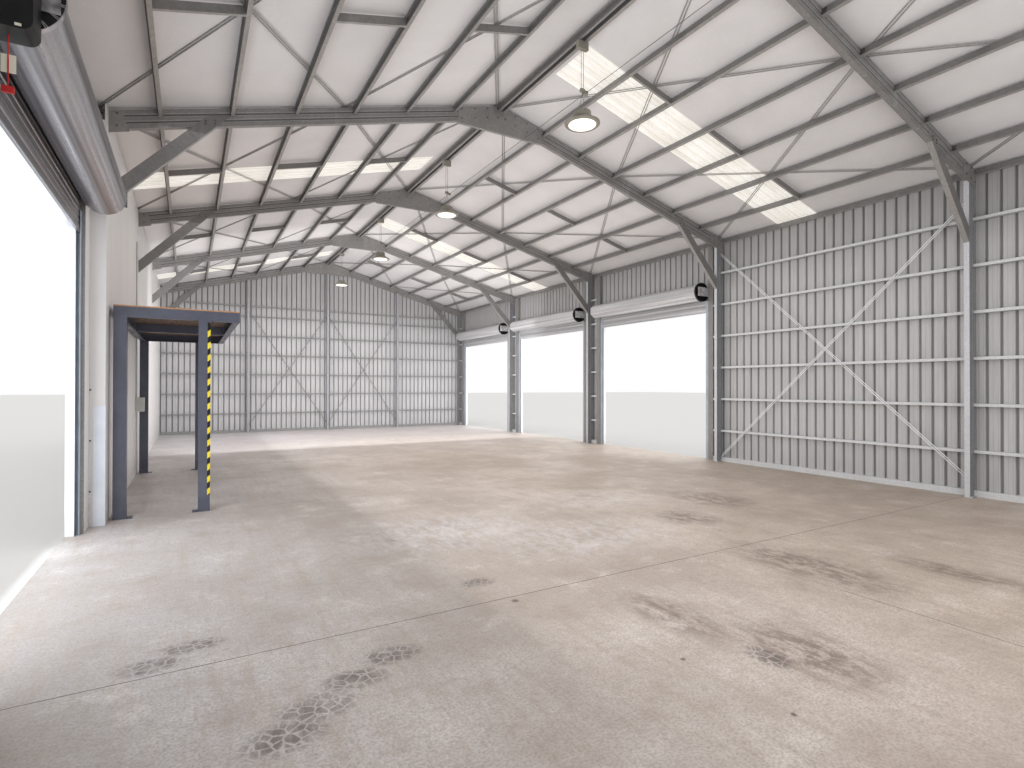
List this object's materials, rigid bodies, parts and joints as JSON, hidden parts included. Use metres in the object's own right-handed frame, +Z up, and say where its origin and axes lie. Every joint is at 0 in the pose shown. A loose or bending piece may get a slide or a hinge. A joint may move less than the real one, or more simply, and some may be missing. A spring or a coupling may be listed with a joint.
{
  "type": "factory building",
  "caption": "Single-storey steel portal-frame factory building with a gable roof, skylight strips, ribbed sheet walls, roller-door openings and a raised platform inside",
  "frame": {"origin": "on the ground, at the middle of the underside of the floor slab", "axes": "+X across the building towards the wall with the row of roller doors, +Y along the ridge towards the far end wall of the picture, +Z up"},
  "size_m": [12.798, 25.1426, 7.24],
  "materials": {
    "concrete": "power-floated, worn and stained",
    "frame_steel": "galvanised",
    "roof_steel": "galvanised",
    "wall_steel": "galvanised, bright",
    "brace_rod": "galvanised",
    "wall_sheet": "bare zinc-coated, ribbed",
    "roof_sheet": "zinc-coated, ribbed",
    "skylight": "translucent, ribbed",
    "roof_lining": "white blanket facing",
    "wall_panel": "smooth off-white panel",
    "white_trim": "white paint",
    "door_guide": "grey",
    "door_curtain": "grey, corrugated",
    "black_plastic": "black",
    "dark_paint": "charcoal paint",
    "plywood": "raw board",
    "lamp_metal": "spun reflector",
    "corner_steel": "pale blue-grey",
    "grey_box": "light grey"
  },
  "bodies": {
    "root": {"floor_slab": "concrete", "columns_left": "frame_steel", "columns_right": "frame_steel", "rafters_left": "frame_steel", "rafters_right": "frame_steel", "apex_plates": "frame_steel", "knee_plates": "frame_steel", "knee_braces": "frame_steel", "purlins_left": "roof_steel", "purlins_right": "roof_steel", "ridge_purlins": "roof_steel", "eave_purlins": "roof_steel", "purlin_bridging": "roof_steel", "roof_bracing": "brace_rod", "wall_bracing": "brace_rod", "girts_left": "wall_steel", "girts_right": "wall_steel", "gable_girts": "wall_steel", "gable_mullions": "frame_steel", "cladding_left": "wall_sheet", "cladding_right": "wall_sheet", "wall_lining": "wall_panel", "gable_cladding_far": "wall_sheet", "gable_cladding_near": "wall_sheet", "roof_sheets_left": "roof_sheet", "roof_sheets_right": "roof_sheet", "skylights": "skylight", "roof_lining": "roof_lining", "ridge_capping": "roof_sheet", "gutters": "white_trim", "downpipes": "white_trim", "barge_flashings": "white_trim", "corner_flashings": "white_trim", "door_jambs": "frame_steel", "door_flashings": "white_trim", "door_guides": "door_guide", "roller_doors": "door_curtain", "hoist_wheels": "black_plastic", "side_roller_door": "door_curtain", "door_opener": "black_plastic", "platform_posts": "dark_paint", "platform_beams": "dark_paint", "platform_deck": "plywood", "pendant_lights": "lamp_metal", "corner_guard": "corner_steel", "switch_box": "grey_box"}
  },
  "joints": []
}
